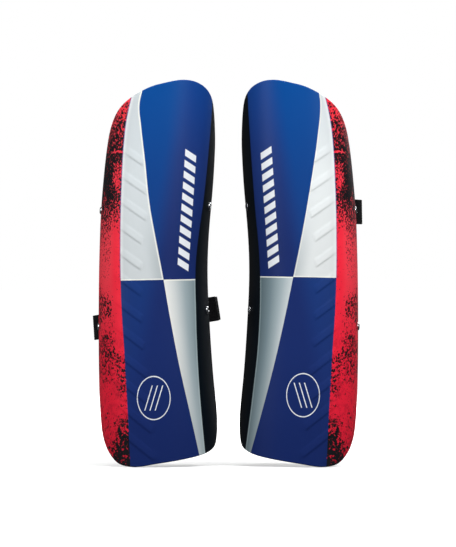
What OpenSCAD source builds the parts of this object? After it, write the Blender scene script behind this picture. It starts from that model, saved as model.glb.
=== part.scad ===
// A pair of slalom shin guards: moulded shells, foam, liners and hook-and-loop leg straps.
// Millimetres. +Z is up the leg and the fronts face -Y. The wearer's left leg is at +X.
// The origin is on the ground plane, midway between the guards. The right guard mirrors the left.

/* [Shell] */
// Height of each guard
guard_height = 388; // [360:1:410]
// Wall of the moulded shell
shell_wall = 3; // [2:0.1:3.5]
// How squarely the section turns from the front to the sides
squareness = 2.8; // [2.5:0.1:3.2]
// Sideways lean of the inner wall for each mm of depth
inner_flare = 0.2; // [0.15:0.01:0.22]
// Sideways lean of the outer wall for each mm of depth
outer_flare = 0.06; // [0.04:0.01:0.08]

/* [Padding] */
// Thickness of the impact foam
foam_thick = 6; // [4:0.5:7]
// Thickness of the comfort liner
liner_thick = 5; // [4:0.5:6]
// Thickness of the hook coins that hold the foam in the shell
coin_thick = 1; // [0.8:0.1:1.1]
// Diameter of the hook coins
coin_d = 20; // [16:1:21]

/* [Straps] */
// Width of the elastic
strap_w = 25; // [22:1:28]
// Thickness of the elastic
strap_t = 2; // [1.6:0.1:2.2]
// Thickness of the hook pads and of the loop pads
pile = 1.2; // [1:0.1:1.3]
// How far the closed straps reach behind the shell
strap_reach = 38; // [34:1:44]

/* [Rivets] */
// Diameter of a rivet's head
rivet_head_d = 8; // [7:0.5:9]
// Height of a rivet's head
rivet_head_h = 1.7; // [1.4:0.1:2]
// Diameter of a rivet's shank
rivet_shank_d = 4.4; // [4:0.1:5]
// Height above the ground of the outer and inner rivets of the upper strap
upper_rivets = [257, 261]; // [250:1:266]
// Height above the ground of the outer and inner rivets of the lower strap
lower_rivets = [140, 156.5]; // [136:0.5:162]

/* [Hidden] */

// Curves up the leg, as [percent of the height, mm].
// Inner and outer edges of a guard, measured sideways from the plane between the guards
inner_edge = [[0, 8], [10, 9.8], [23, 15], [36, 18.6], [49, 20.8], [59, 19.8], [75, 14.8], [88, 12.6],
    [100, 12]];
outer_edge = [[0, 126], [10, 129], [23, 130.6], [39, 131], [54, 130.3], [67, 128.4], [80, 124], [90, 119.5],
    [100, 114.5]];
// Sideways place of the crown, its distance behind the foremost plane, and the depth of the section
crown_place = [[0, 76], [50, 77], [100, 72]];
crown_back = [[0, 5], [13, 2.2], [28, 0.2], [44, 0.3], [62, 3], [80, 8.5], [100, 17]];
section_depth = [[0, 60], [25, 62], [50, 62], [77, 59], [100, 54]];
// Top and bottom edges, as [place across, percent of the height].
// A place across runs from -1 at the inner rear edge, through 0 at the crown, to 1 at the outer rear edge.
top_edge = [[-1, 87.1], [-0.85, 94], [-0.7, 97.2], [-0.5, 99.4], [-0.33, 99.95], [-0.1, 99.1], [0.15, 97.7],
    [0.4, 95.1], [0.6, 91.9], [0.8, 87.2], [1, 81]];
bottom_edge = [[-1, 11.3], [-0.85, 6.1], [-0.7, 4.1], [-0.4, 2.2], [0, 0.6], [0.22, 0], [0.38, 0.3],
    [0.5, 1.4], [0.7, 5.4], [0.85, 9.8], [1, 17]];
// The rear corners are rounded off over this share of the places across, by this height
corner_share = 0.18;
corner_rise = 16;

front_y = -55;
layer_gap = 0.3;
grid_across = 22;
grid_up = 24;

foam_out = shell_wall + 1.6;
foam_in = foam_out + foam_thick;
foam_across = 0.74;
foam_margin = 8;
liner_out = foam_in + layer_gap;
liner_in = liner_out + liner_thick;
liner_across = 0.9;
liner_margin = 7;
binding_w = 4;
binding_over = 0.6;
coin_heights = [15, 38, 61, 84];
coin_in = shell_wall + 0.45;

rivet_place = 0.905;
anchor_front = 9;
anchor_rear = 12.4;
anchor_in = shell_wall + 0.85;
washer_d = 9;
washer_t = 0.7;
shank_clearance = 0.1;
joint_gap = 1.6;

// Sideways bulge of each closed strap past the place where it leaves the shell, as [outer side, inner side]
left_upper_bulge = [8.6, 1.2];
left_lower_bulge = [0.8, 1.2];
right_upper_bulge = [0.8, 1.2];
right_lower_bulge = [7.6, 13.4];
bulge_reach = 17;
// Places along a closed strap, counted in curve segments from the outer rivet round to the inner one
end_from = 1.72;
end_to = 2.74;
grip_to = 2.84;
grip_from = 2.62;
hook_from = 1.86;
hook_to = 2.6;
tab_from = 2.12;
loop_from = 2.16;
loop_to = 2.95;
// The mating face of the hook and loop pads is the strap's reference curve, and the layers lie on both sides
pile_in = 0.15;
elastic_in = pile_in + pile + 0.05;
elastic_out = elastic_in + strap_t;
grip_in = elastic_out + 0.3;
grip_out = grip_in + 1;
tip_gap = 0.03;
segment_steps = 10;

shell_blue = "#24458f";
foam_grey = "#3a3d42";
liner_black = "#1b1c1f";
strap_black = "#101113";
rivet_steel = "#c9ccd0";
grip_rubber = "#2b2c2f";

// A smooth curve through the points of p, read at x.
function slope(p, i) =
    let(a = max(i - 1, 0), b = min(i + 1, len(p) - 1)) (p[b].y - p[a].y) / (p[b].x - p[a].x);
function span(p, x, i = 0) = i >= len(p) - 2 || x < p[i + 1].x ? i : span(p, x, i + 1);
function curve(p, x) =
    let(i = span(p, x), h = p[i + 1].x - p[i].x, s = (x - p[i].x) / h, r = 1 - s)
    r * r * (1 + 2 * s) * p[i].y + s * r * r * h * slope(p, i)
    + s * s * (3 - 2 * s) * p[i + 1].y - s * s * r * h * slope(p, i + 1);
function percent(z) = 100 * z / guard_height;
function unit(v) = v / norm(v);

// Superellipse section: how far across and how far back of the crown, both as shares, at place t.
function radius(t) =
    pow(pow(abs(sin(90 * t)), squareness) + pow(abs(cos(90 * t)), squareness), 1 / squareness);
function across(t) = sin(90 * t) / radius(t);
function behind(t) = 1 - cos(90 * t) / radius(t);

// A point of the left guard at place t and height z, inset from the outer surface.
function wall(t, z, inset = 0) =
    let(
        h = percent(z),
        side = t < 0 ? -1 : 1,
        flare = t < 0 ? inner_flare : outer_flare,
        depth = curve(section_depth, h),
        back = (depth - inset) * behind(t),
        crown = curve(crown_place, h),
        edge = curve(t < 0 ? inner_edge : outer_edge, h),
        half = side * (edge - crown) - flare * depth - inset
    )
    [crown + half * across(t) + side * flare * back, front_y + curve(crown_back, h) + inset + back, z];
function corner(t) =
    let(f = max(abs(t) - 1 + corner_share, 0) / corner_share) corner_rise * (1 - sqrt(max(1 - f * f, 0)));
function top_z(t) = curve(top_edge, t) * guard_height / 100 - corner(t);
function bottom_z(t) = curve(bottom_edge, t) * guard_height / 100 + corner(t);

// The wall's own axes at a place: towards the outer side, up the wall, and outwards.
function wall_across(t, z) = unit(wall(t + 0.01, z) - wall(t - 0.01, z));
function wall_rise(t, z) = unit(wall(t, z + 1) - wall(t, z - 1));
function wall_out(t, z) = unit(cross(wall_across(t, z), wall_rise(t, z)));
module on_wall(t, z) {
    at = wall(t, z);
    out = wall_out(t, z);
    rise = wall_rise(t, z);
    over = cross(rise, out);
    multmatrix([
        [over.x, rise.x, out.x, at.x],
        [over.y, rise.y, out.y, at.y],
        [over.z, rise.z, out.z, at.z],
        [0, 0, 0, 1],
    ])
        children();
}

// Grid places from -1 to 1, drawn together towards the rear edges.
function grid_place(f) = (f + sin(90 * f)) / 2;

// Closed solid from a grid of points: rows go up, and each row's outer and inner halves run across.
function quad(a, b, c, d) = [[a, b, c], [a, c, d]];
module curved_panel(reach, margin, outer_inset, inner_inset) {
    row = grid_across + 1;
    layer = row * (grid_up + 1);
    points = [
        for (inset = [outer_inset, inner_inset], j = [0:grid_up], i = [0:grid_across])
            let(
                share = grid_place(2 * i / grid_across - 1),
                low = bottom_z(share) + margin,
                high = top_z(share) - margin
            )
            wall(share * reach, low + (high - low) * j / grid_up, inset)
    ];
    skins = [
        for (j = [0:grid_up - 1], i = [0:grid_across - 1])
            let(a = j * row + i, b = a + 1, c = b + row, d = a + row)
            each concat(quad(a, d, c, b), quad(layer + a, layer + b, layer + c, layer + d))
    ];
    ends = [
        for (i = [0:grid_across - 1])
            let(a = i, b = i + 1, c = grid_up * row + i, d = c + 1)
            each concat(quad(a, b, layer + b, layer + a), quad(d, c, layer + c, layer + d))
    ];
    sides = [
        for (j = [0:grid_up - 1])
            let(a = j * row, b = a + row, c = a + grid_across, d = c + row)
            each concat(quad(b, a, layer + a, layer + b), quad(c, d, layer + d, layer + c))
    ];
    polyhedron(points, concat(skins, ends, sides), convexity = 6);
}

// A tape round the liner's edge: a four-cornered section swept round a closed path.
module edge_tape() {
    corners = [
        [0, liner_out - binding_over], [binding_w, liner_out - binding_over],
        [binding_w, liner_in + binding_over], [0, liner_in + binding_over],
    ];
    // Stations as [place across, share of the way up], round the bottom, outer, top and inner edges
    stations = [
        for (i = [0:grid_across - 1]) [grid_place(2 * i / grid_across - 1), 0],
        for (j = [0:grid_up - 1]) [1, j / grid_up],
        for (i = [grid_across:-1:1]) [grid_place(2 * i / grid_across - 1), 1],
        for (j = [grid_up:-1:1]) [-1, j / grid_up],
    ];
    count = len(stations);
    points = [
        for (at = stations, c = corners)
            let(
                grow = c.x + 0.2,
                low = bottom_z(at.x) + liner_margin - grow,
                high = top_z(at.x) - liner_margin + grow
            )
            wall(at.x * (liner_across + grow / 100), low + (high - low) * at.y, c.y)
    ];
    faces = [
        for (k = [0:count - 1], c = [0:3])
            let(a = 4 * k + c, b = 4 * k + (c + 1) % 4, n = 4 * ((k + 1) % count))
            each quad(b, a, n + c, n + (c + 1) % 4)
    ];
    polyhedron(points, faces, convexity = 6);
}

// The closed strap runs in its own plane, through the ends of its two anchors.
// side is 1 at the outer wall and -1 at the inner wall; rivets is [outer height, inner height].
function anchor_end(side, z) =
    let(t = side * rivet_place, out = wall_out(t, z))
    wall(t, z) + side * cross(wall_rise(t, z), out) * (anchor_rear + joint_gap / 2)
    - out * (anchor_in + strap_t / 2);
function strap_middle(rivets) = (anchor_end(1, rivets[0]) + anchor_end(-1, rivets[1])) / 2;
function strap_tilt(rivets) =
    let(a = anchor_end(1, rivets[0]), b = anchor_end(-1, rivets[1])) atan2(b.z - a.z, a.x - b.x);
// One side of the reference curve in the strap's plane, as the corners of two cubic curves
function strap_side(side, rivets, bulge) =
    let(
        end = anchor_end(side, rivets[side > 0 ? 0 : 1]),
        middle = strap_middle(rivets),
        layer = (elastic_in + elastic_out) / 2,
        x = (end.x - middle.x) / cos(strap_tilt(rivets)) - layer,
        start = [side > 0 ? x : x + 2 * layer, end.y - middle.y],
        run = wall_across(side * rivet_place, end.z) * side,
        crest = [start.x + side * bulge, start.y + bulge_reach],
        back = [0, strap_reach]
    )
    [
        [start, start + 6 * [run.x, run.y], crest - [0, 6], crest],
        [crest, crest + [0, 13], back + [side * 32, 0], back],
    ];
function cubic(c, f) =
    pow(1 - f, 3) * c[0] + 3 * f * pow(1 - f, 2) * c[1] + 3 * f * f * (1 - f) * c[2] + pow(f, 3) * c[3];
function strap_point(s, rivets, bulges) =
    s < 2
        ? cubic(strap_side(1, rivets, bulges[0])[s < 1 ? 0 : 1], s < 1 ? s : s - 1)
        : cubic(strap_side(-1, rivets, bulges[1])[s < 3 ? 1 : 0], s < 3 ? 3 - s : 4 - s);
function strap_normal(s, rivets, bulges) =
    let(
        a = strap_point(max(s - 0.01, 0), rivets, bulges),
        b = strap_point(min(s + 0.01, 4), rivets, bulges),
        run = unit(b - a)
    )
    [run.y, -run.x];

// A stretch of the closed strap from place a to place b, between two distances from the reference curve.
module band(a, b, near, far, width, rivets, bulges) {
    places = concat(
        a, [for (k = [floor(a * segment_steps) + 1:ceil(b * segment_steps) - 1]) k / segment_steps], b
    );
    last = len(places) - 1;
    function at(s, offset) = strap_point(s, rivets, bulges) + offset * strap_normal(s, rivets, bulges);
    translate(strap_middle(rivets))
        rotate([0, strap_tilt(rivets), 0])
            linear_extrude(width, center = true)
                polygon([for (s = places) at(s, near), for (i = [last:-1:0]) at(places[i], far)]);
}

module shank_hole(length) {
    translate([0, 0, -length])
        cylinder(d = rivet_shank_d + 2 * shank_clearance, h = 2 * length, $fn = 32);
}
module at_rivets() {
    on_wall(rivet_place, upper_rivets[0]) children();
    on_wall(-rivet_place, upper_rivets[1]) children();
    on_wall(rivet_place, lower_rivets[0]) children();
    on_wall(-rivet_place, lower_rivets[1]) children();
}

// Sub-parts of one guard, drawn as the left one.
module shell() {
    color(shell_blue)
        difference() {
            curved_panel(1, 0, 0, shell_wall);
            at_rivets() shank_hole(8);
        }
}
module impact_foam() {
    color(foam_grey) curved_panel(foam_across, foam_margin, foam_out, foam_in);
}
module comfort_liner() {
    color(liner_black) curved_panel(liner_across, liner_margin, liner_out, liner_in);
}
module liner_binding() {
    color(strap_black) edge_tape();
}
module foam_coins() {
    color(strap_black)
        for (h = coin_heights)
            on_wall(0, h * guard_height / 100)
                translate([0, 0, -coin_in - coin_thick])
                    cylinder(d = coin_d, h = coin_thick, $fn = 48);
}
module rivets() {
    rolled = anchor_in + strap_t + washer_t + 0.2;
    color(rivet_steel)
        at_rivets()
            rotate_extrude($fn = 48)
                polygon([
                    [1.3, 0.5], [1.3, rivet_head_h - 0.2], [1.9, rivet_head_h], [rivet_head_d / 2 - 1, 1.1],
                    [rivet_head_d / 2, 0.35], [rivet_head_d / 2, 0.1], [rivet_shank_d / 2, 0.1],
                    [rivet_shank_d / 2, -rolled], [3.1, -rolled], [3.1, -rolled - 0.5],
                    [1.3, -rolled - 0.8], [1.3, -2], [0, -2.3], [0, 0.5],
                ]);
}
module rivet_washers() {
    color(rivet_steel)
        at_rivets()
            translate([0, 0, -anchor_in - strap_t - 0.1 - washer_t])
                difference() {
                    cylinder(d = washer_d, h = washer_t, $fn = 48);
                    shank_hole(4);
                }
}
module strap_anchor(side, z) {
    on_wall(side * rivet_place, z)
        translate([0, 0, -anchor_in - strap_t])
            difference() {
                translate([side > 0 ? -anchor_front : -anchor_rear, -strap_w / 2, 0])
                    cube([anchor_front + anchor_rear, strap_w, strap_t]);
                shank_hole(8);
            }
}
module strap_anchors(rivets) {
    color(strap_black) {
        strap_anchor(1, rivets[0]);
        strap_anchor(-1, rivets[1]);
    }
}
module strap(rivets, bulges) {
    color(strap_black) band(0.01, end_from - 0.01, elastic_in, elastic_out, strap_w, rivets, bulges);
}
module strap_end(rivets, bulges) {
    color(strap_black) band(end_from, end_to, elastic_in, elastic_out, strap_w, rivets, bulges);
}
module hook_pad(rivets, bulges) {
    color(liner_black) band(hook_from, hook_to, pile_in, pile_in + pile, strap_w - 3, rivets, bulges);
}
module strap_grip(rivets, bulges) {
    color(grip_rubber) {
        band(grip_from, grip_to, grip_in, grip_out, strap_w - 1, rivets, bulges);
        band(end_to + tip_gap, grip_to, elastic_in, grip_out, strap_w - 1, rivets, bulges);
    }
}
module keeper_tab(rivets, bulges) {
    color(strap_black) band(tab_from, 3.99, -elastic_out, -elastic_in, strap_w, rivets, bulges);
}
module loop_pad(rivets, bulges) {
    color(liner_black) band(loop_from, loop_to, -pile_in - pile, -pile_in, strap_w - 1, rivets, bulges);
}

// The right guard's parts are the left one's, mirrored.
module right() {
    mirror([1, 0, 0]) children();
}

shell();  // left_shell
impact_foam();  // left_impact_foam
comfort_liner();  // left_comfort_liner
liner_binding();  // left_liner_binding
foam_coins();  // left_foam_coins
rivets();  // left_rivets
rivet_washers();  // left_rivet_washers
strap_anchors(upper_rivets);  // left_upper_strap_anchors
strap(upper_rivets, left_upper_bulge);  // left_upper_strap
strap_end(upper_rivets, left_upper_bulge);  // left_upper_strap_end
hook_pad(upper_rivets, left_upper_bulge);  // left_upper_hook_pad
strap_grip(upper_rivets, left_upper_bulge);  // left_upper_strap_grip
keeper_tab(upper_rivets, left_upper_bulge);  // left_upper_keeper_tab
loop_pad(upper_rivets, left_upper_bulge);  // left_upper_loop_pad
strap_anchors(lower_rivets);  // left_lower_strap_anchors
strap(lower_rivets, left_lower_bulge);  // left_lower_strap
strap_end(lower_rivets, left_lower_bulge);  // left_lower_strap_end
hook_pad(lower_rivets, left_lower_bulge);  // left_lower_hook_pad
strap_grip(lower_rivets, left_lower_bulge);  // left_lower_strap_grip
keeper_tab(lower_rivets, left_lower_bulge);  // left_lower_keeper_tab
loop_pad(lower_rivets, left_lower_bulge);  // left_lower_loop_pad
right() shell();  // right_shell
right() impact_foam();  // right_impact_foam
right() comfort_liner();  // right_comfort_liner
right() liner_binding();  // right_liner_binding
right() foam_coins();  // right_foam_coins
right() rivets();  // right_rivets
right() rivet_washers();  // right_rivet_washers
right() strap_anchors(upper_rivets);  // right_upper_strap_anchors
right() strap(upper_rivets, right_upper_bulge);  // right_upper_strap
right() strap_end(upper_rivets, right_upper_bulge);  // right_upper_strap_end
right() hook_pad(upper_rivets, right_upper_bulge);  // right_upper_hook_pad
right() strap_grip(upper_rivets, right_upper_bulge);  // right_upper_strap_grip
right() keeper_tab(upper_rivets, right_upper_bulge);  // right_upper_keeper_tab
right() loop_pad(upper_rivets, right_upper_bulge);  // right_upper_loop_pad
right() strap_anchors(lower_rivets);  // right_lower_strap_anchors
right() strap(lower_rivets, right_lower_bulge);  // right_lower_strap
right() strap_end(lower_rivets, right_lower_bulge);  // right_lower_strap_end
right() hook_pad(lower_rivets, right_lower_bulge);  // right_lower_hook_pad
right() strap_grip(lower_rivets, right_lower_bulge);  // right_lower_strap_grip
right() keeper_tab(lower_rivets, right_lower_bulge);  // right_lower_keeper_tab
right() loop_pad(lower_rivets, right_lower_bulge);  // right_lower_loop_pad
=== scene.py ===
import math

import bmesh
import bpy
import numpy as np
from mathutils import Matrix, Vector


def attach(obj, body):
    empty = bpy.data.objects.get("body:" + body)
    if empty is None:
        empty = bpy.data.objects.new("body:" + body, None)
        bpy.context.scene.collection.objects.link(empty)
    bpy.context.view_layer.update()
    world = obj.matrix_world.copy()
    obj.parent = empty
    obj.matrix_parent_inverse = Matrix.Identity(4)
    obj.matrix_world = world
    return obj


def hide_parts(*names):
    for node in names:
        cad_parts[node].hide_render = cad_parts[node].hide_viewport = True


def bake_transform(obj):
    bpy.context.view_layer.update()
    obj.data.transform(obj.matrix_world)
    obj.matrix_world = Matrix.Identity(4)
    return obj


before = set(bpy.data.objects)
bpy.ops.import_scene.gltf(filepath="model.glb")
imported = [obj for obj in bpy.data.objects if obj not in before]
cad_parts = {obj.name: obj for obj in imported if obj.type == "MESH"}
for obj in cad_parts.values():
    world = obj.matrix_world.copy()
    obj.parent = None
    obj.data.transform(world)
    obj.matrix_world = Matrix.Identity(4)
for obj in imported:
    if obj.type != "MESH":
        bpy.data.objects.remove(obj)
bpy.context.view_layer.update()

# Shapes below are worked out in millimetres for the left guard, as in the CAD source, and become metres
# when a mesh is made. The right guard mirrors the left one, apart from the slack of its straps. Values
# keyed 1 and -1 are for a guard's outer and inner side.
MM = 0.001
SIDES = {"left": 1, "right": -1}
ROOT = "guards"

# The CAD source's sizes
GUARD_HEIGHT = 388
SHELL_WALL = 3
SQUARENESS = 2.8
INNER_FLARE = 0.2
OUTER_FLARE = 0.06
STRAP_W = 25
STRAP_T = 2
PILE = 1.2
STRAP_REACH = 38
RIVETS = {"upper": {1: 257, -1: 261}, "lower": {1: 140, -1: 156.5}}
INNER_EDGE = [[0, 8], [10, 9.8], [23, 15], [36, 18.6], [49, 20.8], [59, 19.8], [75, 14.8], [88, 12.6],
              [100, 12]]
OUTER_EDGE = [[0, 126], [10, 129], [23, 130.6], [39, 131], [54, 130.3], [67, 128.4], [80, 124], [90, 119.5],
              [100, 114.5]]
CROWN_PLACE = [[0, 76], [50, 77], [100, 72]]
CROWN_BACK = [[0, 5], [13, 2.2], [28, 0.2], [44, 0.3], [62, 3], [80, 8.5], [100, 17]]
SECTION_DEPTH = [[0, 60], [25, 62], [50, 62], [77, 59], [100, 54]]
TOP_EDGE = [[-1, 87.1], [-0.85, 94], [-0.7, 97.2], [-0.5, 99.4], [-0.33, 99.95], [-0.1, 99.1], [0.15, 97.7],
            [0.4, 95.1], [0.6, 91.9], [0.8, 87.2], [1, 81]]
BOTTOM_EDGE = [[-1, 11.3], [-0.85, 6.1], [-0.7, 4.1], [-0.4, 2.2], [0, 0.6], [0.22, 0], [0.38, 0.3],
               [0.5, 1.4], [0.7, 5.4], [0.85, 9.8], [1, 17]]
CORNER_SHARE = 0.18
CORNER_RISE = 16
FRONT_Y = -55
FOAM_OUT = 4.6
FOAM_IN = 10.6
FOAM_ACROSS = 0.74
FOAM_MARGIN = 8
LINER_OUT = 10.9
LINER_ACROSS = 0.9
LINER_MARGIN = 7
RIVET_PLACE = 0.905
ANCHOR_FRONT = 9
ANCHOR_REAR = 12.4
ANCHOR_IN = 3.85
JOINT_GAP = 1.6
BULGES = {
    ("left", "upper"): {1: 8.6, -1: 1.2},
    ("left", "lower"): {1: 0.8, -1: 1.2},
    ("right", "upper"): {1: 0.8, -1: 1.2},
    ("right", "lower"): {1: 7.6, -1: 13.4},
}
BULGE_REACH = 17
END_TO = 2.74
GRIP_FROM, GRIP_TO = 2.62, 2.84
HOOK_FROM, HOOK_TO = 1.86, 2.6
TAB_FROM = 2.12
LOOP_FROM, LOOP_TO = 2.16, 2.95
PILE_IN = 0.15
ELASTIC_MID = 2.4
GRIP_IN, GRIP_OUT = 3.7, 4.7


# ---- shape of the guard


def curve(points, x):
    """A smooth curve through the points [x, y], read at x."""
    knots = np.array(points, float)
    px, py = knots[:, 0], knots[:, 1]
    slopes = np.empty(len(knots))
    slopes[1:-1] = (py[2:] - py[:-2]) / (px[2:] - px[:-2])
    slopes[0] = (py[1] - py[0]) / (px[1] - px[0])
    slopes[-1] = (py[-1] - py[-2]) / (px[-1] - px[-2])
    i = np.clip(np.searchsorted(px, x, side="right") - 1, 0, len(knots) - 2)
    h = px[i + 1] - px[i]
    s = (x - px[i]) / h
    r = 1 - s
    return (
        r * r * (1 + 2 * s) * py[i]
        + s * r * r * h * slopes[i]
        + s * s * (3 - 2 * s) * py[i + 1]
        - s * s * r * h * slopes[i + 1]
    )


def smooth(x, low, high):
    """0 below low, 1 above high, and an even rise between them."""
    s = np.clip((np.asarray(x, float) - low) / (high - low), 0, 1)
    return s * s * (3 - 2 * s)


def unit(v):
    return v / np.linalg.norm(v, axis=-1, keepdims=True)


def wall(t, z, inset=0.0):
    """Points of the left guard at places t across and heights z, inset from the outer surface."""
    t, z, inset = np.broadcast_arrays(np.asarray(t, float), np.asarray(z, float), np.asarray(inset, float))
    h = 100 * z / GUARD_HEIGHT
    side = np.where(t < 0, -1.0, 1.0)
    flare = np.where(t < 0, INNER_FLARE, OUTER_FLARE)
    turn = np.pi / 2 * t
    sine, cosine = np.sin(turn), np.cos(turn)
    radius = (np.abs(sine) ** SQUARENESS + np.abs(cosine) ** SQUARENESS) ** (1 / SQUARENESS)
    depth = curve(SECTION_DEPTH, h)
    back = (depth - inset) * (1 - cosine / radius)
    crown = curve(CROWN_PLACE, h)
    edge = np.where(t < 0, curve(INNER_EDGE, h), curve(OUTER_EDGE, h))
    half = side * (edge - crown) - flare * depth - inset
    x = crown + half * sine / radius + side * flare * back
    y = FRONT_Y + curve(CROWN_BACK, h) + inset + back
    return np.stack([x, y, z], -1)


def corner(t):
    f = np.clip(np.abs(t) - 1 + CORNER_SHARE, 0, CORNER_SHARE) / CORNER_SHARE
    return CORNER_RISE * (1 - np.sqrt(np.clip(1 - f * f, 0, 1)))


def top_z(t):
    return curve(TOP_EDGE, t) * GUARD_HEIGHT / 100 - corner(t)


def bottom_z(t):
    return curve(BOTTOM_EDGE, t) * GUARD_HEIGHT / 100 + corner(t)


def wall_axes(t, z):
    """The wall's own axes: towards the outer side, up the wall, and outwards."""
    across = unit(wall(t + 0.01, z) - wall(t - 0.01, z))
    rise = unit(wall(t, z + 1) - wall(t, z - 1))
    out = unit(np.cross(across, rise))
    return np.cross(rise, out), rise, out


# ---- meshes


def add_mesh(name, points, faces, materials, sign=1, slots=None, weave=None, solid=False):
    """An object from points in millimetres, mirrored where sign is -1. slots are the faces' materials,
    weave holds a length across and a length along for each point, and solid turns the faces outwards."""
    mesh = bpy.data.meshes.new(name)
    placed = np.asarray(points, float) * MM * (sign, 1, 1)
    if sign < 0:
        faces = [f[::-1] for f in faces]
    mesh.from_pydata(placed.tolist(), [], [list(map(int, f)) for f in faces])
    for material in materials:
        mesh.materials.append(material)
    if slots is not None:
        mesh.polygons.foreach_set("material_index", np.asarray(slots, np.int32))
    if weave is not None:
        lengths = np.zeros((len(placed), 3), np.float32)
        lengths[:, :2] = weave
        made = mesh.attributes.new("weave", "FLOAT_VECTOR", "POINT")
        made.data.foreach_set("vector", lengths.ravel())
    if solid:
        form = bmesh.new()
        form.from_mesh(mesh)
        bmesh.ops.recalc_face_normals(form, faces=form.faces)
        form.to_mesh(mesh)
        form.free()
    mesh.polygons.foreach_set("use_smooth", np.ones(len(mesh.polygons), bool))
    mesh.validate()
    piece = bpy.data.objects.new(name, mesh)
    bpy.context.scene.collection.objects.link(piece)
    return piece


def add_piece(name, form, material, sign, body, slot, *nodes, weave=None, solid=True):
    """A piece of one material that rides on a body and stands for those CAD nodes."""
    piece = add_mesh(name, *form, [MATERIALS[material]], sign, weave=weave, solid=solid)
    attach(piece, body)
    if nodes:
        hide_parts(*nodes)
    return piece


def grid_faces(columns, rows, start=0):
    """Four-cornered faces over a grid of points, row after row from the point numbered start."""
    corners = [start + j * (columns + 1) + i for j in range(rows) for i in range(columns)]
    return [(a, a + 1, a + columns + 2, a + columns + 1) for a in corners]


def edge_walk(columns, rows):
    """Index pairs (column, row) round a grid's edge: bottom, outer side, top, inner side."""
    return (
        [(i, 0) for i in range(columns)]
        + [(columns, j) for j in range(rows)]
        + [(i, rows) for i in range(columns, 0, -1)]
        + [(0, j) for j in range(rows, 0, -1)]
    )


EDGE_PACE = 97  # millimetres for each whole place across, near the rear edges


def panel_point(share, v, reach, margin, shrink, inset):
    """A point of a curved panel at a share across and v of the way up, drawn in by shrink."""
    low = bottom_z(share) + margin + shrink
    high = top_z(share) - margin - shrink
    return wall(share * (reach - shrink / EDGE_PACE), low + (high - low) * v, inset)


def panel(reach, margin, profile, share, up, coarse=1):
    """A closed curved panel. profile lists [shrink, inset] from the outer face round the edge to the inner
    face, whose grid is coarse times wider. Its faces run in the same order."""
    columns, rows = len(share) - 1, len(up) - 1
    points = [panel_point(*np.meshgrid(share, up), reach, margin, *profile[0]).reshape(-1, 3)]
    walk = edge_walk(columns, rows)
    walk_share, walk_up = share[[i for i, _ in walk]], up[[j for _, j in walk]]
    ring = [j * (columns + 1) + i for i, j in walk]
    total = len(points[0])
    edge = []
    for shrink, inset in profile[1:-1]:
        points.append(panel_point(walk_share, walk_up, reach, margin, shrink, inset))
        following = list(range(total, total + len(walk)))
        edge += zip(ring, following, following[1:] + following[:1], ring[1:] + ring[:1])
        total += len(walk)
        ring = following
    wide, tall = columns // coarse, rows // coarse
    back_grid = np.meshgrid(share[::coarse], up[::coarse])
    points.append(panel_point(*back_grid, reach, margin, *profile[-1]).reshape(-1, 3))
    back = [total + j * (wide + 1) + i for i, j in edge_walk(wide, tall)]
    for k, (here, beyond) in enumerate(zip(back, back[1:] + back[:1])):
        fine = [ring[(k * coarse + step) % len(ring)] for step in range(coarse + 1)]
        edge.append((fine[0], here, beyond, *fine[:0:-1]))
    inner = [(a, d, c, b) for a, b, c, d in grid_faces(wide, tall, total)]
    return np.concatenate(points), grid_faces(columns, rows) + edge + inner


def circle(count):
    """The cosines and sines of even steps round a circle."""
    angles = np.linspace(0, 2 * np.pi, count, endpoint=False)
    return np.cos(angles), np.sin(angles)


def spread(columns):
    """Shares from -1 to 1, drawn together towards the rear edges."""
    f = np.linspace(-1, 1, columns + 1)
    return (f + np.sin(np.pi / 2 * f)) / 2


def loft(loops, closed=False):
    """Points and faces of a skin over loops of equal length, with its ends capped unless it is closed."""
    loops = np.asarray(loops, float)
    n, m = loops.shape[:2]
    faces = []
    for k in range(n if closed else n - 1):
        a, b = k * m, (k + 1) % n * m
        for i in range(m):
            j = (i + 1) % m
            faces.append((a + i, a + j, b + j, b + i))
    if not closed:
        faces.append(tuple(range(m))[::-1])
        faces.append(tuple(range((n - 1) * m, n * m)))
    return loops.reshape(-1, 3), faces


def join(parts):
    """One list of points and faces from several."""
    points, faces, start = [], [], 0
    for p, f in parts:
        points.append(np.asarray(p, float).reshape(-1, 3))
        faces += [tuple(v + start for v in face) for face in f]
        start += len(points[-1])
    return np.concatenate(points), faces


def travel_along(points):
    """Each point's distance along a line of points."""
    return np.concatenate([[0], np.cumsum(np.linalg.norm(np.diff(points, axis=0), axis=-1))])


def weave_lengths(across, along):
    """Lengths across and along for the points of a loft: across round each loop, along for each loop."""
    return np.stack(np.broadcast_arrays(across[None, :], along[:, None]), -1).reshape(-1, 2)


# A stitch: places along it as shares of its length, its radii, and how far it stands out
STITCH_PLACES = np.array([0, 0.12, 0.5, 0.88, 1.0])
STITCH_RADII = np.array([0.35, 0.85, 1.0, 0.85, 0.35]) * 0.25
STITCH_RISE = np.array([-0.5, -0.1, 0.1, -0.1, -0.5]) * 0.5


def stitches(line, normals, length, gap, lift=0.1):
    """Thread dashes along a line of points: short capsules that follow the surface."""
    travel, normals = travel_along(line), unit(normals)
    count = int(travel[-1] // (length + gap))
    cosine, sine = circle(6)
    margin = (travel[-1] - count * (length + gap) + gap) / 2
    parts = []
    for k in range(count):
        along = margin + k * (length + gap) + length * STITCH_PLACES
        centre = np.stack([np.interp(along, travel, line[:, c]) for c in range(3)], -1)
        normal = unit(np.stack([np.interp(along, travel, normals[:, c]) for c in range(3)], -1))
        side = unit(np.cross(normal, unit(centre[-1] - centre[0])))
        centre = centre + normal * (lift + STITCH_RISE)[:, None]
        turn = cosine[:, None] * side[:, None] + sine[:, None] * normal[:, None]
        parts.append(loft(centre[:, None] + STITCH_RADII[:, None, None] * turn))
    return parts


# ---- materials


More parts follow.
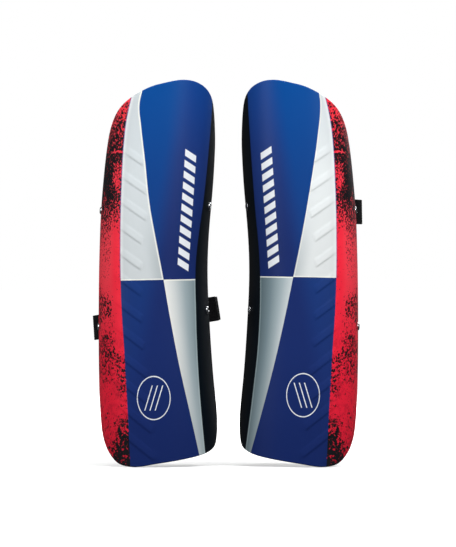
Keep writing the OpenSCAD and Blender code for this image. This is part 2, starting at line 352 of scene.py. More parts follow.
def linear(colour):
    """A colour given as on a screen, (red, green, blue) from 0 to 255, as the shaders want it."""
    shares = [value / 255 for value in colour]
    return (*(c / 12.92 if c <= 0.04045 else ((c + 0.055) / 1.055) ** 2.4 for c in shares), 1.0)


class Field:
    """A node's output, with the arithmetic that a shader needs."""

    def __init__(self, graph, socket):
        self.graph, self.socket = graph, socket

    def __add__(self, other):
        return self.graph.math("ADD", self, other)

    def __sub__(self, other):
        return self.graph.math("SUBTRACT", self, other)

    def __rsub__(self, other):
        return self.graph.math("SUBTRACT", other, self)

    def __mul__(self, other):
        return self.graph.math("MULTIPLY", self, other)

    def __truediv__(self, other):
        return self.graph.math("DIVIDE", self, other)


class Graph:
    """Short calls for building the nodes of one material or world."""

    def __init__(self, owner):
        owner.use_nodes = True
        self.owner, self.tree = owner, owner.node_tree
        self.tree.nodes.clear()

    def node(self, kind, inputs, output=0, **settings):
        """One output of a new node. inputs are other nodes' outputs, numbers, and colours as on a screen."""
        made = self.tree.nodes.new(kind)
        for key, value in settings.items():
            setattr(made, key, value)
        for key, value in inputs.items():
            if isinstance(value, Field):
                self.tree.links.new(value.socket, made.inputs[key])
            else:
                made.inputs[key].default_value = linear(value) if isinstance(value, tuple) else value
        return Field(self, made.outputs[output]) if made.outputs else None

    def math(self, operation, a, b=0.0, c=0.0, clamp=False):
        return self.node("ShaderNodeMath", {0: a, 1: b, 2: c}, operation=operation, use_clamp=clamp)

    def mix(self, share, a, b):
        """Colour a, or b where share is 1."""
        return self.node("ShaderNodeMix", {0: share, 6: a, 7: b}, 2, data_type="RGBA")

    def blend(self, share, a, b):
        """Number a, or b where share is 1."""
        return self.node("ShaderNodeMix", {0: share, 2: a, 3: b}, data_type="FLOAT")

    def step(self, value, width=0.3):
        """0 below zero and 1 above, over that width."""
        return self.math("MULTIPLY_ADD", value, 1 / width, 0.5, clamp=True)

    def within(self, value, low, high, width=0.3):
        """1 between low and high."""
        return self.step(value - low, width) * self.step(high - value, width)

    def ease(self, value, low, high):
        """A smooth rise from 0 at low to 1 at high."""
        return self.node("ShaderNodeMapRange", {0: value, 1: low, 2: high}, interpolation_type="SMOOTHSTEP")

    def ramp(self, value, stops):
        made = self.node("ShaderNodeValToRGB", {0: value})
        band = made.socket.node.color_ramp
        while len(band.elements) < len(stops):
            band.elements.new(0.5)
        for element, (place, _) in zip(band.elements, stops):
            element.position = place
        for element, (_, colour) in zip(band.elements, stops):
            element.color = linear(colour)
        return made

    def lookup(self, value, points):
        """A smooth line through points from 0 to 1 in both directions."""
        made = self.node("ShaderNodeFloatCurve", {1: value})
        mapping = made.socket.node.mapping
        line = mapping.curves[0]
        line.points[0].location = points[0]
        line.points[1].location = points[-1]
        for x, y in points[1:-1]:
            line.points.new(x, y)
        mapping.update()
        return made

    def noise(self, vector, size, detail=2.0, roughness=0.5, distortion=0.0):
        """Smooth noise with lumps of that size."""
        inputs = {"Vector": vector, "Scale": 1 / size, "Detail": detail, "Roughness": roughness,
                  "Distortion": distortion}
        return self.node("ShaderNodeTexNoise", inputs, "Fac")

    def cells(self, vector, size):
        """The distance to the nearest cell centre, in cells."""
        return self.node("ShaderNodeTexVoronoi", {"Vector": vector, "Scale": 1 / size}, "Distance")

    def split(self, vector):
        made = self.node("ShaderNodeSeparateXYZ", {0: vector})
        return [Field(self, socket) for socket in made.socket.node.outputs]

    def place(self):
        """The point in millimetres, with both guards turned to the same side, and its three parts."""
        x, y, z = (part * (1 / MM) for part in self.split(self.node("ShaderNodeTexCoord", {}, "Object")))
        u = self.math("ABSOLUTE", x)
        return self.node("ShaderNodeCombineXYZ", {0: u, 1: y, 2: z}), u, y, z

    def weave(self):
        """The piece's own lengths across and along, in millimetres."""
        spot = self.node("ShaderNodeAttribute", {}, "Vector", attribute_name="weave")
        across, along, _ = self.split(spot)
        return spot, across, along

    def bump(self, height, distance):
        """A normal for a height of that many millimetres."""
        return self.node("ShaderNodeBump", {"Height": height, "Distance": distance * MM})

    def finish(self, colour, roughness, normal=None, **fixed):
        """The surface. fixed names the shader's own constants."""
        inputs = {"Base Color": colour, "Roughness": roughness}
        if normal is not None:
            inputs["Normal"] = normal
        for key, value in fixed.items():
            inputs[key.replace("_", " ")] = value
        self.node("ShaderNodeOutputMaterial", {0: self.node("ShaderNodeBsdfPrincipled", inputs)})
        return self.owner


def new_material(name):
    return Graph(bpy.data.materials.new(name))


# The print on a shell, as lines up the guard: (height, distance from the plane between the guards)
PRINT_WIDTH = 140
OUTER_LINE = [(0, 98), (47, 100.3), (107, 103.5), (167, 107.2), (227, 108.2), (287, 106.9), (327, 104.6),
              (347, 102.2), (367, 98), (388, 92)]
SLANT_LINES = {
    "left": [(0, 18.5), (13, 22.1), (50, 32.2), (93, 43.4), (132, 52.6), (191, 65), (228, 72.6), (262, 78.8),
             (301, 85.1), (331, 89.3), (363, 92), (375, 90.6), (388, 87)],
    "right": [(0, 26.7), (12, 29.2), (56, 38.9), (101, 49), (137, 56), (167, 61.4), (190, 65.3), (228, 72.6),
              (263, 78.8), (306, 83.4), (344, 87.7), (361, 89.2), (376, 86.4), (388, 83)],
}
BLACK_LINES = {
    "left": [(0, 15), (17, 17.2), (78, 25), (127, 30), (191, 31.8), (212, 31), (262, 26.6), (297, 24),
             (336, 21.4), (375, 19.2), (388, 18.5)],
    "right": [(0, 21.8), (13, 23.2), (81, 29.2), (128, 31.7), (160, 32.6), (188, 33.2), (206, 32.6),
              (245, 28.1), (263, 25.5), (327, 19), (356, 16.8), (388, 14.5)],
}
# How much of the red is speckled, near its edge and far round the side: (height, amount from 0 to 1)
SPECKS_NEAR = [(0, 0.76), (14, 0.72), (25, 0.68), (37, 0.6), (45, 0.5), (56, 0.3), (66, 0.24), (76, 0.42),
               (90, 0.46), (102, 0.46), (112, 0.36), (120, 0.2), (150, 0.08), (200, 0.1), (225, 0.16),
               (241, 0.34), (252, 0.52), (267, 0.62), (281, 0.62), (295, 0.62), (305, 0.64), (318, 0.72),
               (336, 0.64), (350, 0.52), (365, 0.42), (388, 0.42)]
SPECKS_FAR = [(0, 0.6), (14, 0.46), (25, 0.36), (37, 0.3), (50, 0.3), (60, 0.18), (75, 0.2), (92, 0.38),
              (105, 0.44), (116, 0.52), (130, 0.5), (141, 0.3), (149, 0.46), (160, 0.52), (170, 0.4),
              (180, 0.16), (205, 0.24), (223, 0.36), (236, 0.46), (248, 0.56), (262, 0.76), (275, 0.9),
              (290, 0.94), (305, 0.94), (318, 0.84), (330, 0.7), (350, 0.52), (365, 0.42), (388, 0.42)]
SPLIT_HEIGHT = 190
SPLIT_SLOPE = -0.02
SPECK_COLOUR = (24, 25, 29)
LINE_COLOUR = (240, 241, 232)
MARK_COLOUR = (238, 242, 246)
SLANT_EDGE = {"left": 0.35, "right": 0.8}
# Whites up each guard. The left guard's copy is lighter than the right's as painted light: the same print,
# lit differently.
WHITES = {
    "left": [(0.45, (223, 227, 227)), (0.75, (226, 231, 232)), (1.0, (200, 208, 212))],
    "right": [(0.45, (205, 211, 213)), (0.75, (208, 215, 218)), (1.0, (196, 204, 208))],
}
# Silver at the foot of each guard, and silver from the black line to the slant line. The left guard's copies
# are darker than the right's as painted shade, the same print lit differently; the darkening towards the
# black line is partly print and partly painted shade where the surface turns to the inner side.
SILVER_FEET = {"left": (120, 137, 143), "right": (166, 179, 183)}
SILVERS = {
    "left": [(0.0, (96, 115, 122)), (0.35, (126, 145, 152)), (0.7, (166, 181, 186)),
             (1.0, (204, 212, 214))],
    "right": [(0.0, (128, 146, 152)), (0.35, (162, 177, 182)), (0.7, (212, 217, 217)),
              (1.0, (238, 239, 235))],
}
REDS = [(0.0, (226, 32, 56)), (0.25, (246, 36, 62)), (0.5, (255, 44, 66)),
        (0.75, (255, 54, 72)), (1.0, (255, 58, 72))]
# The print's blues by height: the outer ones lighter as painted light, the inner ones darker as painted
# shade, and both darker towards the bottom as painted shade.
OUTER_BLUES = [(0.0, (22, 40, 100)), (0.25, (26, 50, 114)), (0.48, (26, 56, 120)),
               (0.75, (14, 64, 134)), (1.0, (2, 72, 146))]
INNER_BLUES = [(0.0, (22, 41, 100)), (0.3, (26, 46, 107)), (0.55, (27, 45, 104)),
               (0.8, (30, 55, 120)), (1.0, (16, 66, 142))]


def print_line(g, level, points):
    return g.lookup(level, [(z / GUARD_HEIGHT, u / PRINT_WIDTH) for z, u in points]) * PRINT_WIDTH


def red_print_and_reflection(g, spot, past, y, z):
    """Red with black speckle, denser at the top and the bottom, lightened far round the side by a painted
    reflection. past is the distance past the red's edge.
    """
    round_side = g.ease(y, -36, -8)
    z = z + (g.noise(spot, 26) - 0.5) * round_side * 90
    level = z / GUARD_HEIGHT
    far = g.ease(past - g.ease(z, 52, 16) * 7, 4, 13)
    near_amount, far_amount = (
        g.lookup(level, [(height / GUARD_HEIGHT, share) for height, share in specks])
        for specks in (SPECKS_NEAR, SPECKS_FAR)
    )
    amount = g.blend(far, near_amount, far_amount)
    streak = g.within(z + g.noise(spot, 9) * 6, 317.4, 319.4, 1.4) * (1 - round_side)
    patch = g.within(z, 280, 301, 10) * g.within(past, 1.5, 10, 4)
    clear = g.within(z, 176, 240, 12) * g.within(past, 2.5, 10, 3)
    amount = g.math("SUBTRACT", amount - streak * 0.7 - patch * 0.2, clear * 0.22, clamp=True)
    coarse = g.ease(z, 200, 150) * 0.3 + 0.16
    grain = g.blend(coarse, g.noise(spot, 2.4, 3, 0.66, 0.3), g.noise(spot, 4.0, 4, 0.66, 0.5))
    specks = g.step(amount * 0.3 + 0.35 - grain, 0.035)
    # Painted reflection: the red lightens far round the side, in its upper part, as a glancing reflection of
    # the white surround.
    red = g.mix(far * g.ease(z, 110, 220) * 0.5, g.ramp(level, REDS), (255, 88, 100))
    cloud = g.ease(g.noise(spot, 16, 3), 0.35, 0.7)
    red = g.mix(cloud * 0.14, red, (214, 28, 52))
    smear = g.ease(g.noise(spot, 7, 4, 0.65), 0.45, 0.68) * g.ease(z, 170, 90)
    red = g.mix(smear * 0.5, red, (158, 22, 44))
    dust = g.ease(g.noise(spot, 1.3, 3), 0.4, 0.66) * (amount * 0.24 + 0.02)
    return g.mix(specks, g.mix(dust, red, (84, 20, 34)), SPECK_COLOUR)


def blue_print_and_shade(g, u, level):
    """Blue print with painted light and shade: lighter near the top and the outer side, deeper down the
    guard and towards its inner side.
    """
    # A soft slanted line where the painted light of the outer blues gives way to the painted shade of the
    # inner ones.
    lean = (level - 0.75) * 60 + u
    return g.mix(g.ease(lean, 48, 70), g.ramp(level, INNER_BLUES), g.ramp(level, OUTER_BLUES))


def slanted_bars(g, u, z, shift):
    """A row of slanted bars, in place of lettering. 1 on a bar."""
    top, bars, pitch, half_wide, lean, drift = 318 + shift, 11, 10.9, 5.6, 0.62, 0.068
    fall = top - z
    aside = u - (fall * drift + 37.5)
    count = (aside * lean + fall) / pitch
    bar = g.within(g.math("FRACT", count), 0.16, 0.78, 0.05)
    return bar * g.within(count, 0, bars, 0.05) * g.within(aside, -half_wide, half_wide)


def oval_mark(g, u, z, shift):
    """A plain oval round three slanted strokes. 1 on the lines."""
    across = u - 74.6
    up = z - (70.5 + shift)
    flat = up * 0.76
    ring = g.within(g.math("SQRT", across * across + flat * flat), 16.0, 16.8)
    lean = up * 0.3 + across
    strokes = g.within(g.math("PINGPONG", lean, 2.6), -1, 0.5)
    return g.math("MAXIMUM", ring, strokes * g.within(lean, -7, 7) * g.within(up, -12.5, 12.5))


def shell_print_and_shade(side, shift):
    """The shell's outer face: printed plastic, with painted light and shade in its colours. shift moves the
    marks and the split up.
    """
    g = new_material(f"{side}_shell_print_and_shade")
    spot, u, y, z = g.place()
    level = z / GUARD_HEIGHT
    slant_line = print_line(g, level, SLANT_LINES[side])
    black_line = print_line(g, level, BLACK_LINES[side])
    past_slant = u - slant_line
    past_black = u - black_line
    past_outer = u - print_line(g, level, OUTER_LINE)
    past_split = z - (u * SPLIT_SLOPE + (SPLIT_HEIGHT + shift))
    above, outside = g.step(past_split), g.step(past_slant)

    # Silver darker towards the black line, partly print and partly painted shade, and greyer towards the
    # foot; the two guards' copies differ as painted light and shade.
    silver = g.ramp(past_black / (slant_line - black_line), SILVERS[side])
    silver = g.mix(g.ease(z, 150, 20) * 0.75, silver, SILVER_FEET[side])
    # Painted shade: the white greys near the slant line, low on the white panel.
    shade = g.ease(past_slant, 16, 1) * g.ease(z, 262, 196)
    white = g.mix(shade * 0.45, g.ramp(level, WHITES[side]), (150, 162, 166))
    white = g.mix(g.ease(past_outer, -4, -1) * 0.5, white, (240, 243, 243))
    blue = blue_print_and_shade(g, u, level)
    colour = g.mix(above, g.mix(outside, silver, blue), g.mix(outside, blue, white))

    slant_edge = g.within(past_slant, 0, 1.5, 0.35) * above
    colour = g.mix(slant_edge * SLANT_EDGE[side], colour, LINE_COLOUR)
    split_edge = g.within(past_split * (outside * 2 - 1), 0, 1.2, 0.35)
    colour = g.mix(split_edge, colour, LINE_COLOUR)
    black_edge = g.within(past_black, 0, 1.1, 0.4) * (1 - above)
    colour = g.mix(black_edge * 0.35, colour, (196, 214, 216))
    marks = g.math("MAXIMUM", slanted_bars(g, u, z, shift), oval_mark(g, u, z, shift))
    colour = g.mix(marks, colour, MARK_COLOUR)
    colour = g.mix(g.step(past_outer), colour, red_print_and_reflection(g, spot, past_outer, y, z))
    red_edge = g.within(past_outer, -0.4, 0.6, 0.4) * above
    colour = g.mix(red_edge * 0.55, colour, (120, 60, 150))
    colour = g.mix(g.step(past_black * -1), colour, (9, 16, 23))
    roughness = g.noise(spot, 30, 3) * 0.1 + 0.4
    return g.finish(colour, roughness, g.bump(g.noise(spot, 1.6), 0.02), Specular_IOR_Level=0.1)


def plain_surface(name, colour, darker, roughness, grain, depth, **fixed):
    """A matte or satin surface with two tones and a fine grain."""
    g = new_material(name)
    spot = g.place()[0]
    tone = g.ease(g.noise(spot, 12, 3), 0.3, 0.7)
    fine = g.noise(spot, grain, 3, 0.6)
    shade = g.mix(fine * 0.5 + tone * 0.5, darker, colour)
    return g.finish(shade, fine * 0.12 + (roughness - 0.06), g.bump(fine, depth), **fixed)


def foam_surface():
    """Closed-cell foam: round pores in two greys."""
    g = new_material("closed_cell_foam")
    spot = g.place()[0]
    pores = g.ease(g.cells(spot, 1.1), 0.15, 0.6)
    shade = pores * 0.6 + g.noise(spot, 20, 3) * 0.4
    colour = g.mix(shade, (40, 42, 47), (70, 73, 79))
    return g.finish(colour, 0.88, g.bump(pores, 0.25), Specular_IOR_Level=0.25)


def mesh_fabric():
    """Warp-knit spacer mesh: staggered round holes in brushed yarn."""
    g = new_material("spacer_mesh")
    spot, across, along = g.weave()
    pitch, squeeze = 2.4, 0.866
    row = along / (pitch * squeeze)
    odd = g.math("MODULO", g.math("FLOOR", row), 2) * 0.5
    dx = g.math("FRACT", across / pitch + odd) - 0.5
    dy = (g.math("FRACT", row) - 0.5) * squeeze
    solid = g.ease(g.math("SQRT", dx * dx + dy * dy), 0.16, 0.3)
    yarn = g.noise(spot, 0.5, 3, 0.7)
    cloth = g.mix(g.ease(g.noise(spot, 14, 3), 0.35, 0.65), (58, 61, 68), (76, 79, 87))
    cloth = g.mix(yarn * 0.35, cloth, (104, 108, 118))
    # Painted shade: the holes are near black, as shade in their depth.
    colour = g.mix(solid, (12, 12, 15), cloth)
    return g.finish(colour, 0.9, g.bump(yarn * 0.25 + solid, 0.35), Specular_IOR_Level=0.2,
                    Sheen_Weight=0.25, Sheen_Roughness=0.5)


def woven(name, colour, ribs, picks, lighter):
    """Woven tape: ribs along it, at that pitch, crossed by picks."""
    g = new_material(name)
    spot, across, along = g.weave()
    rib = g.math("SINE", across * (2 * math.pi / ribs))
    sway = g.step(rib, 0.6) * math.pi
    pick = g.math("SINE", along * (2 * math.pi / picks) + sway)
    height = g.noise(spot, 0.35, 2, 0.6) * 0.5 + rib * 0.35 + pick * 0.5
    shade = g.mix(g.ease(height, -0.4, 1.1) * 0.8, colour, lighter)
    return g.finish(shade, 0.88, g.bump(height, 0.12), Specular_IOR_Level=0.12, Sheen_Weight=0.05,
                    Sheen_Roughness=0.4)


def loop_fabric():
    """Brushed loops in loose clumps."""
    g = new_material("brushed_loop")
    spot = g.weave()[0]
    fuzz = g.noise(spot, 0.5, 3, 0.8, 2.0)
    height = g.noise(spot, 2.6, 3, 0.6) * 0.7 + g.cells(spot, 0.75) * -0.7 + fuzz
    # Painted shade: the pile is near black where it lies low, between the clumps.
    colour = g.mix(g.ease(height, 0.1, 0.75), (6, 6, 8), (50, 51, 57))
    return g.finish(colour, 0.96, g.bump(height, 0.9), Specular_IOR_Level=0.1, Sheen_Weight=0.08,
                    Sheen_Roughness=0.6)


def metal(name, colour, roughness):
    """Plated metal with smudges and fine scratches."""
    g = new_material(name)
    spot = g.place()[0]
    scratch = g.noise(spot, 0.7, 4, 0.7)
    smudge = g.noise(spot, 4)
    shade = g.mix(smudge * 0.3, colour, (150, 152, 156))
    return g.finish(shade, smudge * 0.14 + (roughness - 0.05), g.bump(scratch, 0.015), Metallic=1.0)


PRINT_SHIFT = 1.4  # the left guard's marks and ribs lie this much higher, and the right one's lower
MATERIALS = {
    # Each shell's print, with painted light and shade in its colours.
    "left_print": shell_print_and_shade("left", PRINT_SHIFT),
    "right_print": shell_print_and_shade("right", -PRINT_SHIFT),
    "inner_shell": plain_surface("inner_shell_plastic", (30, 31, 34), (20, 21, 24), 0.48, 0.9, 0.04,
                                 Specular_IOR_Level=0.4),
    "foam": foam_surface(),
    "liner": mesh_fabric(),
    "tape": woven("grosgrain_tape", (10, 10, 12), 0.9, 1.5, (40, 41, 46)),
    "elastic": woven("ribbed_elastic", (3, 3, 5), 1.25, 0.8, (20, 20, 24)),
    "thread": plain_surface("black_thread", (52, 54, 60), (28, 29, 33), 0.6, 0.3, 0.05,
                            Sheen_Weight=0.2),
    "seam": plain_surface("grey_thread", (112, 116, 124), (74, 77, 84), 0.6, 0.3, 0.05,
                          Sheen_Weight=0.2),
    "hooks": plain_surface("nylon_hooks", (26, 26, 29), (14, 14, 16), 0.45, 0.6, 0.05,
                           Specular_IOR_Level=0.5),
    "loops": loop_fabric(),
    "grip": plain_surface("moulded_rubber", (40, 41, 45), (28, 28, 31), 0.62, 0.5, 0.05,
                          Specular_IOR_Level=0.35),
    "rivet": metal("nickel_rivet", (214, 216, 218), 0.24),
}


# ---- shell, foam and rivets

SHELL_EDGE = [[0.6, 0], [0.2, 0.2], [0, 0.65], [0, 2.35], [0.2, 2.8], [0.6, SHELL_WALL]]
FOAM_EDGE = [[1.2, FOAM_OUT], [0.4, FOAM_OUT + 0.3], [0, FOAM_OUT + 1.1], [0, FOAM_IN - 1.1],
             [0.4, FOAM_IN - 0.3], [1.2, FOAM_IN]]
SHELL_COLUMNS = {-1: 40, 1: 144}  # finer on the outer half, where the ribs are
SHELL_ROWS = 464
BACK_COARSE = 4  # how much coarser the inner face's grid is
RIB_RISE = 0.48
RIB_LEAN, RIB_LEAN_STEP = 0.68, 0.011  # the top rib's slope, and what each rib below adds
RIB_OUTER_END = 103.5
RIB_INNER_ENDS = [85.5, 82.5, 82.5, 86.5, 87.5, 87, 86.5, 85, 81.5, 81, 77, 73]
TOP_RIB = 314.4
RIB_PITCH, RIB_PITCH_STEP = 26.5, 0.06
RIB_BORDER = 5  # the ribs fade out this near to the shell's edges
BORDER_PACE = 60  # the millimetres that the fade counts for each whole place across


def rib_height(x, z, share, shift):
    """How far the ribs stand off the shell: a steep lower flank and a long slope above it."""
    height = np.zeros_like(x)
    for k, inner_end in enumerate(RIB_INNER_ENDS):
        lean = math.atan(RIB_LEAN + RIB_LEAN_STEP * k)
        du, dz = x - RIB_OUTER_END, z - (TOP_RIB - RIB_PITCH * k + RIB_PITCH_STEP * k * k + shift)
        along = du * math.cos(lean) + dz * math.sin(lean)
        above = dz * math.cos(lean) - du * math.sin(lean)
        reach = (RIB_OUTER_END - inner_end) / math.cos(lean)
        body = smooth(above, -0.2, 0.95) * (1 - 0.45 * smooth(above, 1, 7)) * (1 - smooth(above, 6, 8.5))
        height = np.maximum(height, body * smooth(along - 0.35 * above, -reach - 1, -reach + 2.5))
    return RIB_RISE * height * (1 - 0.6 * smooth(share, 0.3, 0.38)) * (1 - smooth(share, 0.36, 0.55))


def make_shell(side, sign):
    """The shell: printed, with painted light and shade, on its outer face and rounded edge, with the ribs
    raised on its outer half.
    """
    inner, outer = SHELL_COLUMNS[-1], SHELL_COLUMNS[1]
    share = np.concatenate([spread(2 * inner)[:inner], spread(2 * outer)[outer:]])
    up = np.linspace(0, 1, SHELL_ROWS + 1)
    points, faces = panel(1, 0, SHELL_EDGE, share, up, BACK_COARSE)
    grid_share, grid_up = (a.ravel() for a in np.meshgrid(share, up))
    shrink = SHELL_EDGE[0][0]
    low, high = bottom_z(grid_share) + shrink, top_z(grid_share) - shrink
    t, z = grid_share * (1 - shrink / EDGE_PACE), low + (high - low) * grid_up
    border = np.minimum(np.minimum(z - low, high - z), BORDER_PACE * (1 - np.abs(grid_share)))
    rise = rib_height(points[: len(t), 0], z, grid_share, PRINT_SHIFT * sign)
    rise *= smooth(border, 0, RIB_BORDER)
    points[: len(t)] += wall_axes(t, z)[2] * rise[:, None]
    columns = inner + outer
    printed = columns * SHELL_ROWS + 2 * len(edge_walk(columns, SHELL_ROWS))
    materials = [MATERIALS[f"{side}_print"], MATERIALS["inner_shell"]]
    slots = np.arange(len(faces)) >= printed
    piece = add_mesh(f"{side}_shell_skin", points, faces, materials, sign, slots)
    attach(piece, ROOT)
    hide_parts(f"{side}_shell")


def make_foam(side, sign):
    """Impact foam: a thick sheet with rounded cut edges."""
    form = panel(FOAM_ACROSS, FOAM_MARGIN, FOAM_EDGE, spread(56), np.linspace(0, 1, 151))
    name, node = f"{side}_foam_sheet", f"{side}_impact_foam"
    add_piece(name, form, "foam", sign, ROOT, "foam", node, solid=False)


# A rivet's turned outline from its domed head to its rolled tail, as [radius, height over the wall]
RIVET_PROFILE = [
    [0.05, 0.3], [0.9, 0.32], [1.2, 0.5], [1.35, 1.2], [1.5, 1.55], [1.9, 1.7], [2.4, 1.66], [3, 1.42],
    [3.5, 1.05], [3.85, 0.62], [4, 0.3], [3.96, 0.12], [2.2, 0.06], [2.2, -6.7], [2.9, -6.75], [3.1, -6.95],
    [3.05, -7.2], [2.6, -7.5], [1.9, -7.6], [1.4, -7.4], [1.25, -7], [1.2, -5.6], [0.05, -5.5],
]


def make_rivets(side, sign):
    """A guard's four rivets, square to the wall where they pass through it."""
    ring = np.stack([*circle(40), np.ones(40)], -1)
    points, faces = loft([ring * [radius, radius, height] for radius, height in RIVET_PROFILE])
    places = [(way * RIVET_PLACE, z) for pair in RIVETS.values() for way, z in pair.items()]
    form = join([(wall(t, z) + points @ np.stack(wall_axes(t, z)), faces) for t, z in places])
    add_piece(f"{side}_rivet_set", form, "rivet", sign, ROOT, "rivet", f"{side}_rivets")


# ---- liner

CHANNEL_SHARE = 0.42
CHANNEL_ROWS = 7
CELL_ROWS = 18
CHANNEL_IN = 13.2
MIDDLE_COLUMNS, SIDE_COLUMNS = 24, 16
PILLOW = 3.0
SHOULDER = 11  # how far from a seam the pillow is at its highest
HEM = 4.6
EDGE_TURN = 1.1  # how much further in both faces lie at the edge, inside the tape
LINER_PACE = 78  # millimetres for each whole place across the liner
SWELL, SINK, DRIFT = 0.9, 0.6, 0.8  # how far the simulation may move a point, in millimetres


def liner_grid():
    """Shares across and up for the liner, with its sewn channels on grid lines."""
    inside = np.linspace(-CHANNEL_SHARE, CHANNEL_SHARE, MIDDLE_COLUMNS + 1)
    outside = CHANNEL_SHARE + (1 - CHANNEL_SHARE) * spread(2 * SIDE_COLUMNS)[SIDE_COLUMNS + 1 :]
    share = np.concatenate([-outside[::-1], inside, outside])
    return share, np.linspace(0, 1, CHANNEL_ROWS * CELL_ROWS + 1)


def liner_shape():
    """The left guard's liner: a flat outer face and a quilted inner face. Returns points, faces, which
    points the sewing holds, weave lengths, and the direction inwards at each point of the inner face."""
    share, up = liner_grid()
    columns, rows = len(share) - 1, len(up) - 1
    s, v = np.meshgrid(share, up)
    tall = (top_z(s) - bottom_z(s)) - 2 * LINER_MARGIN
    hem = np.minimum(LINER_PACE * (1 - np.abs(s)), np.minimum(v, 1 - v) * tall)
    to_column = LINER_PACE * np.abs(np.abs(s) - CHANNEL_SHARE)
    to_row = np.abs((v * CHANNEL_ROWS + 0.5) % 1 - 0.5) / CHANNEL_ROWS * tall
    near = np.minimum(np.minimum(to_column, np.where(hem < HEM, 99, to_row)), np.maximum(hem - HEM, 0))
    shoulder = 1 - np.clip(near / SHOULDER, 0, 1)
    pillow = np.sqrt(1 - shoulder**2)
    front = LINER_OUT + 0.2 + EDGE_TURN * (1 - smooth(hem, 0, 8))
    back = CHANNEL_IN + EDGE_TURN * (1 - smooth(hem, 2, HEM + 2)) + PILLOW * pillow
    outer = panel_point(s, v, LINER_ACROSS, LINER_MARGIN, 0, front).reshape(-1, 3)
    inner = panel_point(s, v, LINER_ACROSS, LINER_MARGIN, 0, back)
    girth = np.cumsum(np.linalg.norm(np.diff(inner, axis=1, prepend=inner[:, :1]), axis=-1), axis=1)
    girth -= girth[:, columns // 2 : columns // 2 + 1]
    inner = inner.reshape(-1, 3)
    count = len(outer)
    faces = []
    for a, b, c, d in grid_faces(columns, rows):
        faces += [(a, b, c, d), (count + d, count + c, count + b, count + a)]
    walk = [j * (columns + 1) + i for i, j in edge_walk(columns, rows)]
    faces += [(a, count + a, count + b, b) for a, b in zip(walk, walk[1:] + walk[:1])]
    held = np.concatenate([np.ones(count, bool), ((near < 0.7) | (hem < HEM)).ravel()])
    weave = np.stack([girth.ravel(), (v * tall).ravel()], -1)
    return np.concatenate([outer, inner]), faces, held, np.tile(weave, (2, 1)), unit(inner - outer)


CLOTH = {
    "quality": 6, "mass": 0.15, "tension_stiffness": 12, "compression_stiffness": 12, "shear_stiffness": 4,
    "bending_stiffness": 0.15, "use_pressure": True, "uniform_pressure_force": 4,
    "vertex_group_mass": "held", "shrink_min": -0.06,
}
CLOTH_FRAMES = 20


def inflate(points, faces, held):
    """The same points after a short cloth simulation under pressure. Held points don't move."""
    form = add_mesh("liner_form", points, faces, [])
    group = form.vertex_groups.new(name="held")
    group.add([int(i) for i in np.flatnonzero(held)], 1.0, "REPLACE")
    modifier = form.modifiers.new("Cloth", "CLOTH")
    for key, value in CLOTH.items():
        setattr(modifier.settings, key, value)
    modifier.settings.effector_weights.gravity = 0
    modifier.point_cache.frame_start = 1
    modifier.point_cache.frame_end = CLOTH_FRAMES
    scene = bpy.context.scene
    for number in range(1, CLOTH_FRAMES + 1):
        scene.frame_set(number)
    evaluated = form.evaluated_get(bpy.context.evaluated_depsgraph_get())
    moved = np.empty(len(points) * 3)
    evaluated.data.vertices.foreach_get("co", moved)
    scene.frame_set(1)
    bpy.data.objects.remove(form)
    return moved.reshape(-1, 3) / MM


def liner_points():
    """The liner's points after the simulation, its faces, weave lengths and directions inwards."""
    points, faces, held, weave, inward = liner_shape()
    back = points[len(inward) :]
    shift = inflate(points, faces, held)[len(inward) :] - back
    along = np.sum(shift * inward, -1, keepdims=True)
    aside = shift - along * inward
    length = np.linalg.norm(aside, axis=-1, keepdims=True)
    aside = aside * np.minimum(1, DRIFT / np.maximum(length, 1e-6))
    back += np.clip(along, -SINK, SWELL) * inward + aside
    return points, faces, weave, inward


LINER = liner_points()
TAPE_SECTION = [
    [-4.5, 10.8], [-2, 10.8], [0.3, 11.05], [1.5, 11.7], [2.2, 12.6], [2.4, 13.3], [2.2, 14], [1.5, 14.9],
    [0.3, 15.4], [-2, 15.5], [-4.5, 15.5], [-4.6, 15.15], [-4.5, 14.8], [-2, 14.75], [0.3, 14.6],
    [1.2, 13.9], [1.5, 13.3], [1.2, 12.6], [0.3, 11.9], [-2, 11.6], [-4.5, 11.5], [-4.6, 11.15],
]
TAPE_FACES = {15.5: 1, 10.8: -1}  # how deep the tape's two faces lie, and which way each looks
TAPE_SEAM = 3.2  # from the liner's edge to the stitches
TAPE_COLUMNS, TAPE_ROWS = 120, 200
TAPE_FOLD = 5  # which point of the section is at the fold


def make_liner(side, sign):
    """The quilted pad against the leg."""
    points, faces, weave, _ = LINER
    name, node = f"{side}_liner_pad", f"{side}_comfort_liner"
    liner = add_piece(name, (points, faces), "liner", sign, ROOT, "liner", node, weave=weave, solid=False)


def make_tape(side, sign):
    """Tape folded over the liner's edge, with a row of stitches on each face."""
    share, up = spread(TAPE_COLUMNS), np.linspace(0, 1, TAPE_ROWS + 1)
    walk = edge_walk(TAPE_COLUMNS, TAPE_ROWS)
    place = (share[[i for i, _ in walk]], up[[j for _, j in walk]], LINER_ACROSS, LINER_MARGIN)
    section = np.array(TAPE_SECTION)
    loops = np.stack([panel_point(*place, -beyond, inset) for beyond, inset in section], 1)
    weave = weave_lengths(travel_along(section), travel_along(loops[:, TAPE_FOLD]))
    form = loft(loops, closed=True)
    node = f"{side}_liner_binding"
    add_piece(f"{side}_liner_tape", form, "tape", sign, ROOT, "binding", node, weave=weave)
    seams = []
    for inset, way in TAPE_FACES.items():
        line = panel_point(*place, TAPE_SEAM, inset)
        seams += stitches(line, panel_point(*place, TAPE_SEAM, inset + way) - line, 2.4, 1.0)
    add_piece(f"{side}_tape_seams", join(seams), "thread", sign, ROOT, "binding")


